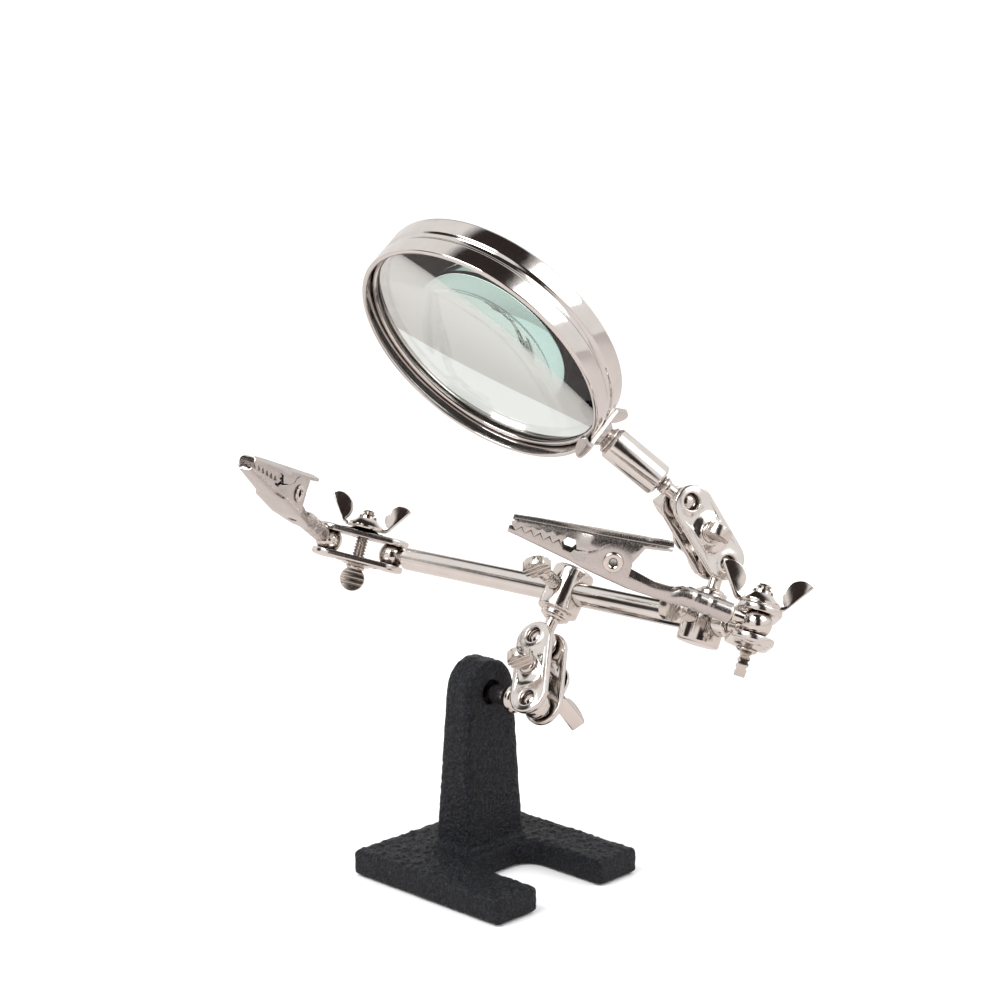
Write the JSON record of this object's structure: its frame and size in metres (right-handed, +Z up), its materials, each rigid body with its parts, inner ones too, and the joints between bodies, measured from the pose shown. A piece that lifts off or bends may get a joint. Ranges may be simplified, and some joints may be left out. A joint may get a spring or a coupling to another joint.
{
  "type": "helping hands clamp",
  "caption": "Cast stand carrying a cross rod with two spring clips and a hand lens, all held on lockable double-ball joints.",
  "frame": {"origin": "centre of the underside of the cast base, on the bench plane", "axes": "+Z up, the slot between the base's legs opens toward -Y, +X to the side where the cross rod sits"},
  "size_m": [0.0629, 0.1301, 0.1407],
  "materials": {
    "black_enamel": "rough crackle enamel on cast iron",
    "nickel": "bright nickel plate",
    "spring_wire": "drawn wire",
    "lens_glass": "clear, faint green edge"
  },
  "bodies": {
    "base": {"cast_base": "black_enamel"},
    "post_stud": {"post_ball_stud": "nickel"},
    "lower_joint": {"lower_plate_front": "nickel", "lower_plate_back": "nickel"},
    "lower_thumb_screw": {"lower_thumb_screw": "nickel"},
    "lower_wing_nut": {"lower_wing_nut": "nickel"},
    "centre_stud": {"centre_ball_stud": "nickel"},
    "centre_clamp": {"centre_clamp_block": "nickel"},
    "centre_clamp_screw": {"centre_clamp_screw": "nickel"},
    "rod": {"cross_rod": "nickel"},
    "left_rod_ball": {"left_rod_ball": "nickel"},
    "left_joint": {"left_plate_top": "nickel", "left_plate_bottom": "nickel"},
    "left_thumb_screw": {"left_thumb_screw": "nickel"},
    "left_wing_nut": {"left_wing_nut": "nickel"},
    "left_clip_stud": {"left_clip_stud": "nickel"},
    "left_clip": {"left_clip_lower_jaw": "nickel", "left_clip_rivet": "nickel", "left_clip_spring": "spring_wire"},
    "left_upper_jaw": {"left_clip_upper_jaw": "nickel"},
    "right_rod_ball": {"right_rod_ball": "nickel"},
    "right_joint": {"right_plate_top": "nickel", "right_plate_bottom": "nickel"},
    "right_thumb_screw": {"right_thumb_screw": "nickel"},
    "right_wing_nut": {"right_wing_nut": "nickel"},
    "right_clip_stud": {"right_clip_stud": "nickel"},
    "right_clip": {"right_clip_lower_jaw": "nickel", "right_clip_rivet": "nickel", "right_clip_spring": "spring_wire"},
    "right_upper_jaw": {"right_clip_upper_jaw": "nickel"},
    "magnifier_clamp": {"magnifier_clamp_block": "nickel"},
    "magnifier_clamp_screw": {"magnifier_clamp_screw": "nickel"},
    "magnifier_clamp_stud": {"magnifier_clamp_stud": "nickel"},
    "magnifier_joint": {"magnifier_plate_front": "nickel", "magnifier_plate_back": "nickel"},
    "magnifier_thumb_screw": {"magnifier_thumb_screw": "nickel"},
    "magnifier_wing_nut": {"magnifier_wing_nut": "nickel"},
    "magnifier_stud": {"magnifier_ball_stud": "nickel"},
    "magnifier": {"magnifier_sleeve": "nickel", "magnifier_rivet": "nickel", "magnifier_cradle": "nickel", "magnifier_band": "nickel", "magnifier_retainer": "nickel", "magnifier_lens": "lens_glass"}
  },
  "joints": [
    {"name": "post_stud_turn", "type": "hinge", "parent": "base", "child": "post_stud", "pos_m": [0.0022, -0.0097, 0.039], "axis": [0, -1, 0], "range_deg": [-30, 30]},
    {"name": "lower_joint_swing", "type": "hinge", "parent": "post_stud", "child": "lower_joint", "pos_m": [0.0022, -0.0097, 0.039], "axis": [-0.788, 0, 0.6157], "range_deg": [-45, 1]},
    {"name": "lower_screw_turn", "type": "hinge", "parent": "lower_joint", "child": "lower_thumb_screw", "pos_m": [0.00636, -0.00669, 0.04433], "axis": [-0.788, 0, 0.6157], "range_deg": [-90, 90]},
    {"name": "lower_nut_turn", "type": "hinge", "parent": "lower_joint", "child": "lower_wing_nut", "pos_m": [0.00636, -0.00669, 0.04433], "axis": [0.788, 0, -0.6157], "range_deg": [-90, 90]},
    {"name": "centre_stud_swing", "type": "hinge", "parent": "lower_joint", "child": "centre_stud", "pos_m": [0.01052, -0.00368, 0.04965], "axis": [0.788, 0, -0.6157], "range_deg": [-30, 30]},
    {"name": "centre_clamp_turn", "type": "hinge", "parent": "centre_stud", "child": "centre_clamp", "pos_m": [0.01797, -0.00347, 0.05919], "axis": [0.6156, 0.0175, 0.7879], "range_deg": [-45, 45]},
    {"name": "centre_screw_turn", "type": "hinge", "parent": "centre_clamp", "child": "centre_clamp_screw", "pos_m": [0.01797, -0.00347, 0.05919], "axis": [-0.788, 0, 0.6157], "range_deg": [-90, 90]},
    {"name": "rod_slide", "type": "slide", "parent": "centre_clamp", "child": "rod", "axis": [-0.0107, 0.9998, -0.0138], "range_m": [-0.02, 0.02]},
    {"name": "left_joint_turn", "type": "hinge", "parent": "rod", "child": "left_rod_ball", "pos_m": [0.0174, 0.04972, 0.05846], "axis": [0.0107, -0.9998, 0.0138], "range_deg": [-60, 60]},
    {"name": "left_joint_swing", "type": "hinge", "parent": "left_rod_ball", "child": "left_joint", "pos_m": [0.0174, 0.04972, 0.05846], "axis": [-0.3745, -0.0168, -0.9271], "range_deg": [-45, 45]},
    {"name": "left_screw_turn", "type": "hinge", "parent": "left_joint", "child": "left_thumb_screw", "pos_m": [0.01293, 0.05537, 0.06016], "axis": [0.3745, 0.0168, 0.9271], "range_deg": [-90, 90]},
    {"name": "left_nut_turn", "type": "hinge", "parent": "left_joint", "child": "left_wing_nut", "pos_m": [0.01293, 0.05537, 0.06016], "axis": [-0.3745, -0.0168, -0.9271], "range_deg": [-90, 90]},
    {"name": "left_clip_swing", "type": "hinge", "parent": "left_joint", "child": "left_clip_stud", "pos_m": [0.00846, 0.06101, 0.06186], "axis": [0.3745, 0.0168, 0.9271], "range_deg": [-45, 38]},
    {"name": "left_clip_roll", "type": "hinge", "parent": "left_clip_stud", "child": "left_clip", "pos_m": [0.00846, 0.06101, 0.06186], "axis": [-0.7865, -0.3717, 0.4932], "range_deg": [-90, 90]},
    {"name": "left_jaw_open", "type": "hinge", "parent": "left_clip", "child": "left_upper_jaw", "pos_m": [-0.01435, 0.04996, 0.0784], "axis": [-0.366, 0.9238, 0.1126], "range_deg": [0, 28], "stiffness_Nm_per_rad": 0.04, "springref_deg": -28.65, "deforming": ["left_clip_spring"]},
    {"name": "right_joint_turn", "type": "hinge", "parent": "rod", "child": "right_rod_ball", "pos_m": [0.0185, -0.05236, 0.05986], "axis": [-0.0107, 0.9998, -0.0138], "range_deg": [-60, 17]},
    {"name": "right_joint_swing", "type": "hinge", "parent": "right_rod_ball", "child": "right_joint", "pos_m": [0.0185, -0.05236, 0.05986], "axis": [-0.4383, -0.0171, -0.8987], "range_deg": [-45, 28]},
    {"name": "right_screw_turn", "type": "hinge", "parent": "right_joint", "child": "right_thumb_screw", "pos_m": [0.01345, -0.05714, 0.06241], "axis": [-0.4383, -0.0171, -0.8987], "range_deg": [-90, 90]},
    {"name": "right_nut_turn", "type": "hinge", "parent": "right_joint", "child": "right_wing_nut", "pos_m": [0.01345, -0.05714, 0.06241], "axis": [0.4383, 0.0171, 0.8987], "range_deg": [-90, 90]},
    {"name": "right_clip_swing", "type": "hinge", "parent": "right_joint", "child": "right_clip_stud", "pos_m": [0.00841, -0.06191, 0.06496], "axis": [0.4383, 0.0171, 0.8987], "range_deg": [-21, 50]},
    {"name": "right_clip_roll", "type": "hinge", "parent": "right_clip_stud", "child": "right_clip", "pos_m": [0.00841, -0.06191, 0.06496], "axis": [-0.5887, 0.7282, 0.3509], "range_deg": [-90, 90]},
    {"name": "right_jaw_open", "type": "hinge", "parent": "right_clip", "child": "right_upper_jaw", "pos_m": [-0.00893, -0.04043, 0.07734], "axis": [0.7751, 0.6317, -0.0104], "range_deg": [0, 28], "stiffness_Nm_per_rad": 0.04, "springref_deg": -28.65, "deforming": ["right_clip_spring"]},
    {"name": "magnifier_clamp_turn", "type": "hinge", "parent": "rod", "child": "magnifier_clamp", "pos_m": [0.01837, -0.04076, 0.0597], "axis": [0.0107, -0.9998, 0.0138], "range_deg": [-60, 17]},
    {"name": "magnifier_clamp_screw_turn", "type": "hinge", "parent": "magnifier_clamp", "child": "magnifier_clamp_screw", "pos_m": [0.01837, -0.04076, 0.0597], "axis": [-0.8988, -0.0036, 0.4384], "range_deg": [-90, 90]},
    {"name": "magnifier_stud_turn", "type": "hinge", "parent": "magnifier_clamp", "child": "magnifier_clamp_stud", "pos_m": [0.02368, -0.04056, 0.07057], "axis": [-0.4383, -0.0171, -0.8987], "range_deg": [-60, 60]},
    {"name": "magnifier_joint_swing", "type": "hinge", "parent": "magnifier_clamp_stud", "child": "magnifier_joint", "pos_m": [0.02368, -0.04056, 0.07057], "axis": [0.4125, 0.8845, -0.218], "range_deg": [-12, 60]},
    {"name": "magnifier_screw_turn", "type": "hinge", "parent": "magnifier_joint", "child": "magnifier_thumb_screw", "pos_m": [0.02112, -0.0378, 0.07695], "axis": [-0.4125, -0.8845, 0.218], "range_deg": [-90, 90]},
    {"name": "magnifier_nut_turn", "type": "hinge", "parent": "magnifier_joint", "child": "magnifier_wing_nut", "pos_m": [0.02112, -0.0378, 0.07695], "axis": [0.4125, 0.8845, -0.218], "range_deg": [-90, 90]},
    {"name": "handle_stud_swing", "type": "hinge", "parent": "magnifier_joint", "child": "magnifier_stud", "pos_m": [0.01857, -0.03504, 0.08332], "axis": [-0.4125, -0.8845, 0.218], "range_deg": [-60, 22]},
    {"name": "lens_turn", "type": "hinge", "parent": "magnifier_stud", "child": "magnifier", "pos_m": [0.01857, -0.03504, 0.08332], "axis": [-0.487, 0.5994, 0.6353], "range_deg": [-90, 90]}
  ]
}
